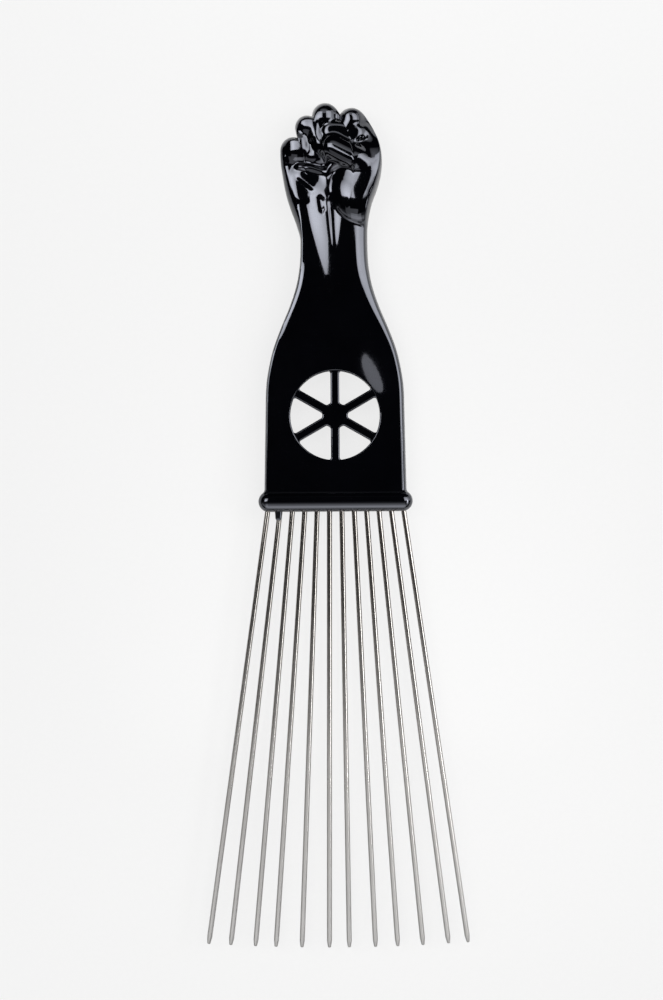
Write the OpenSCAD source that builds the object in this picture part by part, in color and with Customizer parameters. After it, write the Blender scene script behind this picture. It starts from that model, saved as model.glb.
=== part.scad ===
// Hair pick with a moulded fist handle and a fan of straight steel wires.
// The pick lies on its back. X runs across it, Y towards the fist and Z up.
// The origin is on the flat back of the base bar, at the bar's middle.

/* [Base bar] */
// Width of the bar that holds the wires, over its round ends
bar_w = 44.5; // [42:0.5:52]
// Height of the bar along the pick
bar_l = 6; // [5:0.5:8]
// Thickness of the bar, front to back
bar_t = 9; // [8:0.5:11]
// Radius along the bar's long edges
bar_edge_r = 2.4; // [1:0.1:2.4]

/* [Paddle] */
// Width of the flat paddle where it leaves the bar
paddle_w = 41; // [36:0.5:41.5]
// Width of the paddle at its shoulder
shoulder_w = 40; // [34:0.5:40.5]
// Thickness of the paddle
paddle_t = 6.4; // [5:0.2:7]
// Radius along the paddle's edges
paddle_edge_r = 2.4; // [1:0.1:2.4]
// Distance from the bar's middle to where the shoulder starts to turn in
shoulder_y = 28; // [26:0.5:31]
// Fillet between the paddle and the bar
fillet_r = 1.6; // [0.8:0.1:2.2]

/* [Window] */
// Diameter of the round window
window_d = 25.9; // [20:0.1:26.5]
// Distance from the bar's middle to the window's middle
window_y = 24.8; // [24:0.1:27]
// Number of spokes across the window
spoke_count = 6; // [4:1:8]
// Width of a spoke
spoke_w = 2.5; // [1.6:0.1:3.2]
// Diameter of the hub where the spokes meet
hub_d = 7.4; // [5:0.1:10]
// Depth of the spokes below each face of the paddle
web_recess = 0.5; // [0.2:0.1:1.5]

/* [Neck] */
// Distance from the bar's middle to the narrowest place
neck_y = 75; // [72:0.5:80]
// Width of the neck
neck_w = 19.3; // [16:0.1:22]
// Height of the neck's front above the parting plane, beside the ridge of the wrist
neck_front_h = 4.6; // [4:0.1:6]
// Depth of the neck's back below the parting plane
neck_back_h = 4.1; // [3.4:0.1:4.2]
// Radius along the neck's edges
neck_edge_r = 3; // [2:0.1:4]

/* [Fist] */
// Width of the fist
fist_w = 29.2; // [26:0.1:33]
// Length of the fist from the neck to the middle knuckle
fist_l = 40; // [36:0.5:44]
// Height of the thumb above the parting plane
fist_front_h = 10.6; // [9:0.1:12.5]
// Radius along the sides of the hand
fist_rim = 3.4; // [2.4:0.1:4.2]
// Radius along the tops of the fingers
knuckle_rim = 1.8; // [1.2:0.1:2.8]

/* [Wires] */
// Number of wires
tine_count = 12; // [8:1:12]
// Diameter of a wire
tine_d = 1.5; // [1.2:0.05:1.7]
// Distance between wires where they leave the bar
root_pitch = 3.58; // [3.3:0.01:3.7]
// Distance between wires at their tips
tip_pitch = 6.85; // [4:0.05:8]
// Length of the wires outside the bar
tine_l = 126; // [80:1:150]
// Length of wire held inside the handle
held_l = 11; // [8:0.1:12]
// Length of the ground taper at a tip
taper_l = 2; // [1:0.1:4]
// Diameter at the end of the taper
tip_d = 0.95; // [0.6:0.05:1.1]
// Width of the flattened end that locks a wire in the plastic
anchor_w = 2.3; // [1.8:0.1:2.5]
// Thickness of the flattened end
anchor_t = 0.8; // [0.5:0.05:1]
// Length of the flattened end
anchor_l = 2.6; // [1.5:0.1:3]

/* [Hidden] */
tine_names = [for (i = [1 : tine_count]) str("tine_", i < 10 ? "0" : "", i)];

// The two halves of the mould meet at the middle of the bar's thickness.
parting_z = bar_t / 2;
// Half the height of the plain strip that the mould leaves round the outline
land = 0.25;
// Gap between a wire and the plastic moulded round it
seat_gap = 0.02;
// How far a cutter passes the face that it opens
overrun = 0.5;
// How far the spokes run into the wall of the window
spoke_bite = 0.8;

// Mesh of the moulded skin: columns across it, rows up the neck and fist
skin_columns = 46;
fillet_rows = 3;
neck_rows = 14;
fist_rows = 40;
// How strongly columns and rows crowd towards the edges
crowding_share = 0.5;

// Side of the shoulder: share of the way from the shoulder to the neck, and share of the
// narrowing from the shoulder's width to the neck's
shoulder_shares = [
    [0, 0], [0.12, 0.022], [0.22, 0.09], [0.34, 0.22], [0.46, 0.42],
    [0.6, 0.685], [0.72, 0.865], [0.82, 0.955], [0.9, 0.99], [1, 1]
];
// Where along that way the flat paddle starts and ends its change into the round neck
rounding_shares = [0.24, 0.86];

// Sides of the fist: share of its length, and share of half its width
left_side_shares = [[0.108, -0.727], [0.225, -0.842], [0.34, -0.938], [0.46, -1.0], [0.55, -1.034]];
right_side_shares = [
    [0.12, 0.672], [0.26, 0.747], [0.37, 0.856], [0.47, 0.93],
    [0.56, 0.957], [0.655, 0.918], [0.74, 0.808]
];
// Point that the top of the outline is measured from: share of half the width, share of the length
eye_shares = [-0.07, 0.575];
// Angles that the top of the outline runs between, seen from that point
left_angle = 172;
right_angle = 46;
// Round tops of the little, ring, middle and index fingers: across as a share of half the width,
// along as a share of the length, radius as a share of half the width
lobe_shares = [
    [-0.795, 0.66, 0.253], [-0.525, 0.824, 0.226], [-0.164, 0.907, 0.253], [0.356, 0.862, 0.27]
];
lobe_blend_share = 0.05;

// Front of the fist. Each row is one roll of flesh from one end to the other, and each end has
// its place across, its place along, its radius and its height. Across and radius are shares of
// half the width, along is a share of the length, and height is a share of the thumb's height.
// Last come how far the roll's sides fall and how much of its top is level, as shares of its radius.
front_roll_shares = [
    // Bent joints of the little, ring, middle and index fingers
    [-0.82, 0.69, 0.225, 0.68, -0.81, 0.70, 0.225, 0.68, 0.5, 0],
    [-0.58, 0.82, 0.205, 0.74, -0.54, 0.84, 0.205, 0.74, 0.5, 0],
    [-0.17, 0.93, 0.245, 0.81, -0.13, 0.93, 0.245, 0.81, 0.5, 0],
    [0.33, 0.89, 0.255, 0.81, 0.38, 0.885, 0.255, 0.81, 0.5, 0],
    // Little finger below its joint, its tip in the palm, and its outer side
    [-0.68, 0.71, 0.13, 0.645, -0.67, 0.65, 0.15, 0.68, 0.9, 0],
    [-0.67, 0.65, 0.15, 0.68, -0.70, 0.585, 0.16, 0.57, 0.9, 0],
    [-0.835, 0.635, 0.15, 0.635, -0.875, 0.585, 0.15, 0.54, 0.9, 0],
    // Ring finger below its joint, and its tip in the palm
    [-0.44, 0.835, 0.145, 0.71, -0.38, 0.685, 0.165, 0.78, 0.9, 0],
    [-0.38, 0.685, 0.165, 0.78, -0.33, 0.595, 0.15, 0.645, 0.9, 0],
    // Middle and index fingers below their joints, behind the thumb
    [-0.02, 0.78, 0.22, 0.81, 0.29, 0.775, 0.235, 0.82, 0.6, 0.5],
    // Thumb from its tip to its joint, and from there to its root
    [0.02, 0.665, 0.22, 0.97, 0.47, 0.58, 0.21, 1, 0.9, 0.1],
    [0.47, 0.58, 0.21, 1, 0.67, 0.525, 0.225, 0.865, 0.9, 0.1],
    // Side of the hand from the index finger to the thumb's root, and the fold beside it
    [0.53, 0.83, 0.13, 0.69, 0.75, 0.67, 0.165, 0.71, 0.9, 0],
    [0.75, 0.67, 0.165, 0.71, 0.78, 0.505, 0.18, 0.73, 0.9, 0],
    [0.52, 0.735, 0.14, 0.77, 0.57, 0.67, 0.14, 0.79, 0.9, 0],
    // Ball of the thumb, and its foot towards the wrist
    [0.34, 0.375, 0.555, 0.845, 0.63, 0.415, 0.425, 0.895, 0.8, 0],
    [0.34, 0.375, 0.555, 0.845, 0.39, 0.285, 0.44, 0.80, 0.7, 0.2],
    // Ridge of the wrist, running out on the neck
    [0.175, 0.26, 0.755, 0.605, 0.215, -0.305, 0.615, 0.38, 0.36, 0.2],
    // Heel of the hand
    [-0.705, 0.505, 0.205, 0.55, -0.62, 0.25, 0.18, 0.51, 0.4, 0.5]
];
// Hollows in the front: place across, place along, half width and depth at each end, in the
// same shares. The first two run between the sinews of the wrist, the others lie in the palm.
hollow_shares = [
    [-0.10, 0.36, 0.055, 0.055, -0.035, 0.05, 0.055, 0.045],
    [-0.035, 0.05, 0.055, 0.045, -0.015, -0.25, 0.05, 0.01],
    [-0.52, 0.465, 0.1, 0.04, -0.38, 0.39, 0.08, 0.04],
    [-0.26, 0.455, 0.09, 0.04, -0.38, 0.39, 0.08, 0.04]
];
// Back of the fist: four knuckles with the sinews that run from them to the wrist, in the same
// shares, with height as a share of the depth of the back
back_roll_shares = [
    [-0.70, 0.62, 0.20, 0.96, -0.33, 0.2, 0.12, 0.84, 0.35, 0],
    [-0.42, 0.73, 0.21, 1.00, -0.17, 0.2, 0.12, 0.86, 0.35, 0],
    [-0.06, 0.79, 0.23, 1.00, 0.02, 0.2, 0.12, 0.86, 0.35, 0],
    [0.34, 0.74, 0.23, 0.99, 0.20, 0.2, 0.12, 0.84, 0.35, 0]
];
// Height of the flesh between the rolls. On the neck: share of the way from the shoulder, and
// share of the change from the paddle's height to the neck's. On the fist: share of the length,
// and share of the thumb's height.
neck_rise_shares = [[0, 0], [0.45, 0.02], [0.74, 0.45], [1, 1]];
palm_shares = [[0.13, 0.47], [0.3, 0.49], [0.47, 0.5], [0.6, 0.47], [0.8, 0.45], [1, 0.41]];
// Depth of the fist's back between the sinews, in the same way
back_shares = [[0.3, 0.88], [0.6, 0.9], [0.8, 0.86], [1, 0.7]];
// Share of its radius beyond which a roll's side falls on in a straight line
steep_share = 0.88;
// How far each point of the fist gives way to the mean of its neighbours, which evens the skin
evening_share = 0.5;
// How far rolls run together, as a share of half the width
roll_blend_share = 0.045;
sinew_blend_share = 0.03;
// How far up the fist its sides change from the neck's edges to the hand's
neck_round_share = 0.4;

// How far each wire's tip strays from an even fan, as shares of the distance between tips
stray_shares = [0, -0.06, -0.01, -0.14, -0.04, 0.12, -0.04, 0.07, 0.01, 0.08, 0.17, 0];

fine = 64;

// Small helpers: blends, limits and a soft maximum
function mix(a, b, t) = a + (b - a) * t;
function hold(t) = min(1, max(0, t));
function ease(t) = hold(t) * hold(t) * (3 - 2 * hold(t));
function meet(a, b, soft) = max(a, b) + pow(max(soft - abs(a - b), 0), 2) / (4 * soft);
function meet_all(list, soft, i = 0) =
    i == len(list) - 1 ? list[i] : meet(list[i], meet_all(list, soft, i + 1), soft);
function crowd(t) = mix(t, (1 - cos(180 * t)) / 2, crowding_share);
function way(a, b, p) = hold((p - a) * (b - a) / ((b - a) * (b - a)));

// A smooth curve through a table of pairs. It starts level.
function span(table, x, i = 0) =
    i >= len(table) - 2 || x <= table[i + 1][0] ? i : span(table, x, i + 1);
function rise(table, a, b) = (table[b][1] - table[a][1]) / (table[b][0] - table[a][0]);
function tangent(table, i) =
    i == 0 ? 0 : rise(table, i - 1, min(i + 1, len(table) - 1));
function curve(table, x) =
    let (
        i = span(table, x),
        w = table[i + 1][0] - table[i][0],
        t = hold((x - table[i][0]) / w),
        a = table[i][1],
        b = table[i + 1][1],
        p = tangent(table, i) * w,
        q = tangent(table, i + 1) * w
    )
    a + p * t + (3 * (b - a) - 2 * p - q) * pow(t, 2) + (2 * (a - b) + p + q) * pow(t, 3);

// Height of a rounded edge of depth e at the distance d from it, from 0 to 1
function rim(d, e) = sqrt(1 - pow(1 - hold(d / e), 2));

// Fillet from a straight wall onto a round ball of the bar. It gives the wall's offset at y.
function fillet_top(wall, ball_y, ball_x, ball_r) =
    ball_y + sqrt(pow(ball_r + fillet_r, 2) - pow(wall + fillet_r - ball_x, 2));
function fillet_end(wall, ball_y, ball_x, ball_r) =
    ball_y + (fillet_top(wall, ball_y, ball_x, ball_r) - ball_y) * ball_r / (ball_r + fillet_r);
function flare(wall, ball_y, ball_x, ball_r, y) =
    let (
        top = fillet_top(wall, ball_y, ball_x, ball_r),
        low = fillet_end(wall, ball_y, ball_x, ball_r),
        drop = hold((top - max(y, low)) / fillet_r)
    )
    wall + fillet_r * (1 - sqrt(1 - pow(drop, 2)));

// The bar's round end seen from the front, and its round edge seen from the side
side_ball = [0, bar_w / 2 - bar_l / 2, bar_l / 2];
face_ball = [bar_l / 2 - bar_edge_r, bar_t / 2 - bar_edge_r, bar_edge_r];
fillet_start_y = max(
    fillet_top(paddle_w / 2, side_ball[0], side_ball[1], side_ball[2]),
    fillet_top(paddle_t / 2, face_ball[0], face_ball[1], face_ball[2])
);
fillet_end_y = min(
    fillet_end(paddle_w / 2, side_ball[0], side_ball[1], side_ball[2]),
    fillet_end(paddle_t / 2, face_ball[0], face_ball[1], face_ball[2])
);

// Places across each row as shares of its width, and how far the skin stands out at such a place
// between the edge, 0, and the full height, 1
across_shares = [for (i = [0 : skin_columns]) crowd(i / skin_columns)];
function side_rise(share, width, edge) = rim(width * min(share, 1 - share), edge);

// Each row of the skin is a list of points, with a height above and a depth below the parting.
function paddle_row(y) =
    let (
        half_w = y > fillet_start_y
            ? mix(paddle_w, shoulder_w, hold((y - fillet_start_y) / (shoulder_y - fillet_start_y))) / 2
            : flare(paddle_w / 2, side_ball[0], side_ball[1], side_ball[2], y),
        half_t = flare(paddle_t / 2, face_ball[0], face_ball[1], face_ball[2], y)
    )
    [
        for (share = across_shares)
            let (h = mix(paddle_t / 2 - paddle_edge_r, half_t, side_rise(share, 2 * half_w, paddle_edge_r)))
            [half_w * (2 * share - 1), y, h, h]
    ];

function neck_row(t) =
    let (
        y = mix(shoulder_y, neck_y, t),
        half_w = mix(shoulder_w, neck_w, curve(shoulder_shares, t)) / 2,
        round_share = ease((t - rounding_shares[0]) / (rounding_shares[1] - rounding_shares[0])),
        wall = mix(paddle_t / 2 - paddle_edge_r, land, round_share),
        back = mix(paddle_t / 2, neck_back_h, round_share),
        edge = mix(paddle_edge_r, neck_edge_r, round_share)
    )
    [
        for (share = across_shares)
            let (x = half_w * (2 * share - 1), out = side_rise(share, 2 * half_w, edge))
            [x, y, mix(wall, front_height([x, y]), out), mix(wall, back, out)]
    ];

// Outline of the fist: four lobes for the fingers, seen from the eye, between two curved sides
half_fist_w = fist_w / 2;
function fist_x(share) = share * half_fist_w;
function fist_y(share) = neck_y + share * fist_l;
eye = [fist_x(eye_shares[0]), fist_y(eye_shares[1])];

function reach(lobe, angle) =
    let (
        c = [fist_x(lobe[0]), fist_y(lobe[1])] - eye,
        along = c * [cos(angle), sin(angle)],
        spare = pow(fist_x(lobe[2]), 2) - (c * c - pow(along, 2))
    )
    along + sqrt(max(spare, 0));
function top_point(c) =
    let (
        angle = mix(left_angle, right_angle, c),
        r = meet_all([for (lobe = lobe_shares) reach(lobe, angle)], lobe_blend_share * half_fist_w)
    )
    eye + r * [cos(angle), sin(angle)];

function side_table(shares, start, end) = concat(
    [[start[1], start[0]]],
    [for (s = shares) [fist_y(s[0]), fist_x(s[1])]],
    [[end[1], end[0]]]
);
neck_left = [-neck_w / 2, neck_y];
neck_right = [neck_w / 2, neck_y];
top_left = top_point(0);
top_right = top_point(1);
left_table = side_table(left_side_shares, neck_left, top_left);
right_table = side_table(right_side_shares, neck_right, top_right);
function side_point(table, v) =
    let (y = mix(table[0][0], table[len(table) - 1][0], v)) [curve(table, y), y];

// A patch spanned between the neck, the two sides and the finger tops
function patch_point(c, v) =
    let (
        ruled = mix(mix(neck_left, neck_right, c), top_point(c), v),
        sides = mix(side_point(left_table, v), side_point(right_table, v), c),
        corners = mix(mix(neck_left, neck_right, c), mix(top_left, top_right, c), v)
    )
    ruled + sides - corners;

// Height of one roll of flesh at a point
steep_slope = steep_share / sqrt(1 - pow(steep_share, 2));
function roll_height(roll, p, full_h) =
    let (
        a = [fist_x(roll[0]), fist_y(roll[1])],
        b = [fist_x(roll[4]), fist_y(roll[5])],
        t = way(a, b, p),
        r = fist_x(mix(roll[2], roll[6], t)),
        d = max(norm(p - mix(a, b, t)) / r - roll[9], 0) / (1 - roll[9]),
        drop = 1 - sqrt(1 - pow(min(d, steep_share), 2)) + steep_slope * max(d - steep_share, 0)
    )
    full_h * mix(roll[3], roll[7], t) - r * roll[8] * drop;

// Depth of one hollow at a point
function hollow_depth(hollow, p) =
    let (
        a = [fist_x(hollow[0]), fist_y(hollow[1])],
        b = [fist_x(hollow[4]), fist_y(hollow[5])],
        t = way(a, b, p),
        d = norm(p - mix(a, b, t)) / fist_x(mix(hollow[2], hollow[6], t))
    )
    fist_front_h * mix(hollow[3], hollow[7], t) * exp(-pow(d, 3));

flesh_table = concat(
    [for (s = neck_rise_shares) [mix(shoulder_y, neck_y, s[0]), mix(paddle_t / 2, neck_front_h, s[1])]],
    [for (s = palm_shares) [fist_y(s[0]), fist_front_h * s[1]]]
);
function front_height(p) =
    let (
        rolls = [for (roll = front_roll_shares) roll_height(roll, p, fist_front_h)],
        hollows = [for (hollow = hollow_shares) hollow_depth(hollow, p)]
    )
    meet_all(concat([curve(flesh_table, p[1])], rolls), roll_blend_share * half_fist_w) - max(hollows);

function back_depth(p, v) =
    let (
        flesh = mix(neck_back_h, parting_z * curve(back_shares, v), ease(v / back_shares[0][0])),
        rolls = [for (roll = back_roll_shares) roll_height(roll, p, parting_z)]
    )
    min(parting_z, meet_all(concat([flesh], rolls), sinew_blend_share * half_fist_w));

function fist_row(v) =
    let (
        width = side_point(right_table, v)[0] - side_point(left_table, v)[0],
        edge = mix(neck_edge_r, fist_rim, ease(v / neck_round_share))
    )
    [
        for (share = across_shares)
            let (
                p = patch_point(share, v),
                climb = norm(top_point(share) - mix(neck_left, neck_right, share)),
                out = side_rise(share, width, edge) * rim((1 - v) * climb, knuckle_rim)
            )
            [p[0], p[1], mix(land, front_height(p), out), mix(land, back_depth(p, v), out)]
    ];

// Height of the rows up the fist: even at the neck, crowded at the finger tops
function fist_step(t) = mix(t, sin(90 * t), crowding_share);

// The same rows with each inner point's heights evened with those of the four points round it
function evened(rows) = [
    for (j = [0 : len(rows) - 1])
        [
            for (i = [0 : skin_columns])
                let (
                    p = rows[j][i],
                    inner = j > 0 && j < len(rows) - 1 && i > 0 && i < skin_columns,
                    near = inner
                        ? (rows[j - 1][i] + rows[j + 1][i] + rows[j][i - 1] + rows[j][i + 1]) / 4
                        : p
                )
                [p[0], p[1], mix(p[2], near[2], evening_share), mix(p[3], near[3], evening_share)]
        ]
];

skin_rows = concat(
    [paddle_row(0)],
    [
        for (i = [1 : fillet_rows])
            let (a = 90 * i / fillet_rows)
            paddle_row(mix(fillet_end_y, fillet_start_y, sin(a)))
    ],
    [for (i = [0 : neck_rows - 1]) neck_row(i / neck_rows)],
    evened(evened([for (i = [0 : fist_rows]) fist_row(fist_step(i / fist_rows))]))
);

module skin(rows) {
    columns = len(rows[0]);
    count = len(rows) * columns;
    last = len(rows) - 1;
    points = concat(
        [for (r = rows, p = r) [p[0], p[1], p[2]]],
        [for (r = rows, p = r) [p[0], p[1], -p[3]]]
    );
    function at(j, i) = j * columns + i;
    faces = concat(
        [for (j = [0 : last - 1], i = [0 : columns - 2]) [at(j, i), at(j + 1, i), at(j + 1, i + 1)]],
        [for (j = [0 : last - 1], i = [0 : columns - 2]) [at(j, i), at(j + 1, i + 1), at(j, i + 1)]],
        [
            for (j = [0 : last - 1], i = [0 : columns - 2])
                [count + at(j, i), count + at(j + 1, i + 1), count + at(j + 1, i)]
        ],
        [
            for (j = [0 : last - 1], i = [0 : columns - 2])
                [count + at(j, i), count + at(j, i + 1), count + at(j + 1, i + 1)]
        ],
        [for (j = [0 : last - 1]) [at(j, 0), count + at(j, 0), count + at(j + 1, 0), at(j + 1, 0)]],
        [
            for (j = [0 : last - 1])
                let (i = columns - 1)
                [at(j, i), at(j + 1, i), count + at(j + 1, i), count + at(j, i)]
        ],
        [
            for (i = [0 : columns - 2])
                [at(0, i), at(0, i + 1), count + at(0, i + 1), count + at(0, i)]
        ],
        [
            for (i = [0 : columns - 2])
                [at(last, i), count + at(last, i), count + at(last, i + 1), at(last, i + 1)]
        ]
    );
    polyhedron(points, faces, convexity = 10);
}

// Half of the bar's section, cut along the pick: flat front and back, round edges
module bar_section(width) {
    x = width / 2 - bar_edge_r;
    z = bar_t / 2 - bar_edge_r;
    intersection() {
        union() {
            for (side = [-1, 1])
                translate([x, side * z])
                    circle(bar_edge_r, $fn = fine);
            translate([x - bar_t, -z])
                square([bar_t + bar_edge_r, 2 * z]);
            translate([x - bar_t, -bar_t / 2])
                square([bar_t, bar_t]);
        }
        translate([0, -bar_t])
            square([bar_t, 2 * bar_t]);
    }
}

module bar() {
    middle_w = bar_w - bar_l;
    translate([-middle_w / 2, 0, parting_z])
        rotate([90, 0, 90])
            linear_extrude(middle_w) {
                bar_section(bar_l);
                mirror([1, 0])
                    bar_section(bar_l);
            }
    for (side = [0, 1])
        mirror([side, 0, 0])
            translate([middle_w / 2, 0, parting_z])
                rotate([0, 0, -90])
                    rotate_extrude(angle = 180, $fn = fine)
                        bar_section(bar_l);
}

// Hub and spokes that fill the window
module web() {
    height = paddle_t - 2 * web_recess;
    translate([0, window_y, parting_z - height / 2]) {
        cylinder(height, d = hub_d, $fn = fine);
        for (i = [0 : spoke_count - 1])
            rotate([0, 0, 360 * i / spoke_count + 90])
                translate([0, -spoke_w / 2, 0])
                    cube([window_d / 2 + spoke_bite, spoke_w, height]);
    }
}

// Stands a shape along wire i, with its own Z along the wire from the bar's edge to the tip
module along_tine(i) {
    place = i - (tine_count + 1) / 2;
    root_x = place * root_pitch;
    tip_x = (place + stray_shares[i - 1]) * tip_pitch;
    translate([root_x, -bar_l / 2, parting_z])
        rotate([0, 0, atan((tip_x - root_x) / tine_l)])
            rotate([90, 0, 0])
                children();
}

module tine_seat() {
    pocket_w = anchor_w + 2 * seat_gap;
    pocket_t = anchor_t + 2 * seat_gap;
    translate([0, 0, -held_l + anchor_l])
        cylinder(held_l - anchor_l + overrun, d = tine_d + 2 * seat_gap, $fn = fine);
    translate([-pocket_w / 2, -pocket_t / 2, -held_l - seat_gap])
        cube([pocket_w, pocket_t, anchor_l + seat_gap + overrun]);
}

module handle() {
    color("#17181c")
        difference() {
            union() {
                difference() {
                    translate([0, 0, parting_z])
                        skin(skin_rows);
                    translate([0, window_y, -overrun])
                        cylinder(bar_t + 2 * overrun, d = window_d, $fn = fine);
                }
                web();
                bar();
            }
            for (i = [1 : tine_count])
                along_tine(i)
                    tine_seat();
        }
}

module tine(i) {
    color("#b9bcc0")
        along_tine(i) {
            translate([0, 0, -held_l + anchor_l])
                cylinder(tine_l + held_l - anchor_l - taper_l, d = tine_d, $fn = fine);
            translate([-anchor_w / 2, -anchor_t / 2, -held_l])
                cube([anchor_w, anchor_t, anchor_l + overrun]);
            translate([0, 0, tine_l - taper_l])
                rotate_extrude($fn = fine)
                    polygon([
                        [0, 0], [tine_d / 2, 0], [tip_d / 2, taper_l - tip_d / 6],
                        [tip_d / 3, taper_l], [0, taper_l]
                    ]);
        }
}

handle();
for (i = [1 : tine_count])
    tine(i);
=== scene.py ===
# Hair pick: a glossy black moulded handle with a raised fist, and a fan of straight steel wires.
# The pick lies on its back on a pale floor, with the camera straight above it.
import bpy
import bmesh
import math
from mathutils import Euler, Matrix, Vector


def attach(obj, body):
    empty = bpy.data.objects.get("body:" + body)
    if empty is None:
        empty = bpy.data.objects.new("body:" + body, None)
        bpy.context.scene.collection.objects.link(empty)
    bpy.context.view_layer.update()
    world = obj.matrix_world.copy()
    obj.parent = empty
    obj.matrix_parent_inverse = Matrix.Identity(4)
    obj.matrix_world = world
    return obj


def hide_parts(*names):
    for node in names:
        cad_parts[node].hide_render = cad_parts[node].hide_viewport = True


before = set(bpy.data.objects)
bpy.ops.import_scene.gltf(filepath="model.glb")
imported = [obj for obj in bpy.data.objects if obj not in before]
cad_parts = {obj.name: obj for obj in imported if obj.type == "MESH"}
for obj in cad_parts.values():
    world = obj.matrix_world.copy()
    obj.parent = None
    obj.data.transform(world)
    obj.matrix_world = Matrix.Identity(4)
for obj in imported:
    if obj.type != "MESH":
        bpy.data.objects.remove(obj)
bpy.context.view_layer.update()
mm = 0.001
collection = bpy.context.scene.collection


def mix(a, b, t):
    return a + (b - a) * t


def hold(t):
    return min(1.0, max(0.0, t))


def ease(t):
    t = hold(t)
    return t * t * (3 - 2 * t)


def meet(a, b, soft):  # the larger of two heights, with a soft change between them
    gap = soft - abs(a - b)
    return max(a, b) + (gap * gap / (4 * soft) if gap > 0 else 0)


def curve(table, x):  # a smooth line through a table of pairs, level at its start
    last = len(table) - 1
    i = 0
    while i < last - 1 and x > table[i + 1][0]:
        i += 1

    def slope(k):
        if k == 0:
            return 0.0
        a, b = table[k - 1], table[min(k + 1, last)]
        return (b[1] - a[1]) / (b[0] - a[0])

    width = table[i + 1][0] - table[i][0]
    t = hold((x - table[i][0]) / width)
    a, b = table[i][1], table[i + 1][1]
    p, q = slope(i) * width, slope(i + 1) * width
    return a + p * t + (3 * (b - a) - 2 * p - q) * t ** 2 + (2 * (a - b) + p + q) * t ** 3


def rim(d, depth):  # height of a rounded edge at a distance from it, from 0 to 1
    return math.sqrt(1 - (1 - hold(d / depth)) ** 2)


def addPiece(name, bm, material):
    mesh = bpy.data.meshes.new(name)
    bm.to_mesh(mesh)
    bm.free()
    piece = bpy.data.objects.new(name, mesh)
    collection.objects.link(piece)
    mesh.materials.append(material)
    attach(piece, "root")
    return piece


# Sizes of the handle in millimetres. Places along it are from the bar's middle, heights from the
# parting plane, where the two halves of its mould meet. The land is the rim's height there.
handleValues = {
    "barWidth": 44.5, "barLength": 6.0, "barThickness": 9.0, "barEdge": 2.7,
    "paddleWidth": 41.0, "shoulderWidth": 40.0, "paddleThickness": 6.4, "paddleEdge": 2.4,
    "shoulderPlace": 28.0, "fillet": 1.6, "neckPlace": 75.0, "neckWidth": 19.3, "land": 0.25,
    "columns": 120, "paddleRows": 10, "neckRows": 60, "fistRows": 170,
    "columnCrowding": 0.5, "rowCrowding": 0.5,  # 0 spaces them evenly
    "smoothFrom": 84, "smoothPasses": 10, "smoothShare": 0.5,
    "barSides": 64, "barSegments": 10, "sharpAngle": 38,
}
v = handleValues

# Outline of the handle from above. Each pair of left and right is a place along the handle and
# how far out it is there. Edges are the radii of the left and right side, and a bevel is a width
# and a depth.
outlineValues = {
    "shoulder": [(0, 0), (0.12, 0.022), (0.22, 0.09), (0.34, 0.22), (0.46, 0.42),
                 (0.6, 0.685), (0.72, 0.865), (0.82, 0.955), (0.9, 0.99), (1, 1)],
    "rounding": (0.24, 0.86),  # where the flat paddle has begun and ended turning into the wrist
    "left": [(79.3, -10.6), (84.0, -12.3), (88.6, -13.7), (93.4, -14.6), (97.0, -15.1)],
    "right": [(79.8, 9.8), (85.4, 10.9), (89.8, 12.5), (93.8, 13.6),
              (97.4, 13.97), (101.2, 13.4), (104.6, 11.8)],
    "eye": (-1.0, 98.0), "leftAngle": 172, "rightAngle": 46,  # the knuckles are seen from the eye
    "lobes": [(-11.6, 101.4, 3.7), (-7.7, 108.0, 3.3), (-2.4, 111.25, 3.7), (5.2, 109.5, 3.95)],
    "lobeBlend": 0.7, "topRim": 1.7,
    "paddleEdges": (0.6, 1.0), "neckEdges": (0.6, 1.2), "fistEdges": (3.2, 1.5), "fistStart": 0.4,
    "paddleBevel": (1.4, 0.36), "neckBevel": (3.3, 1.05), "fistBevel": (3.1, 1.0),
    "bevelFade": (0.55, 0.25),  # where it starts to fade on the fist, and over how much of it
    "leftBevel": (1.6, 0.42), "leftShares": [(28, 0), (42, 0), (57, 0.9), (63, 1), (71, 0), (75, 0)],
}
o = outlineValues

# Pixels of the photograph, in which the rolls and hollows of the fist's front are placed
photoValues = {"mmPerPixel": 0.289, "origin": (333.2, 501.2)}

# Height of the flesh between the rolls, by distance from the bar
frontBase = [(28, 3.2), (42, 3.2), (50, 3.55), (58, 4.25), (65, 4.7), (72, 4.9), (80, 5.0),
             (87, 5.2), (94, 5.3), (99, 5.0), (104, 4.9), (110, 4.6), (116, 4.4)]
backBase = [(28, 3.2), (50, 3.2), (62, 3.5), (75, 4.0), (87, 3.96), (99, 4.05), (107, 3.87),
            (116, 3.15)]

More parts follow.
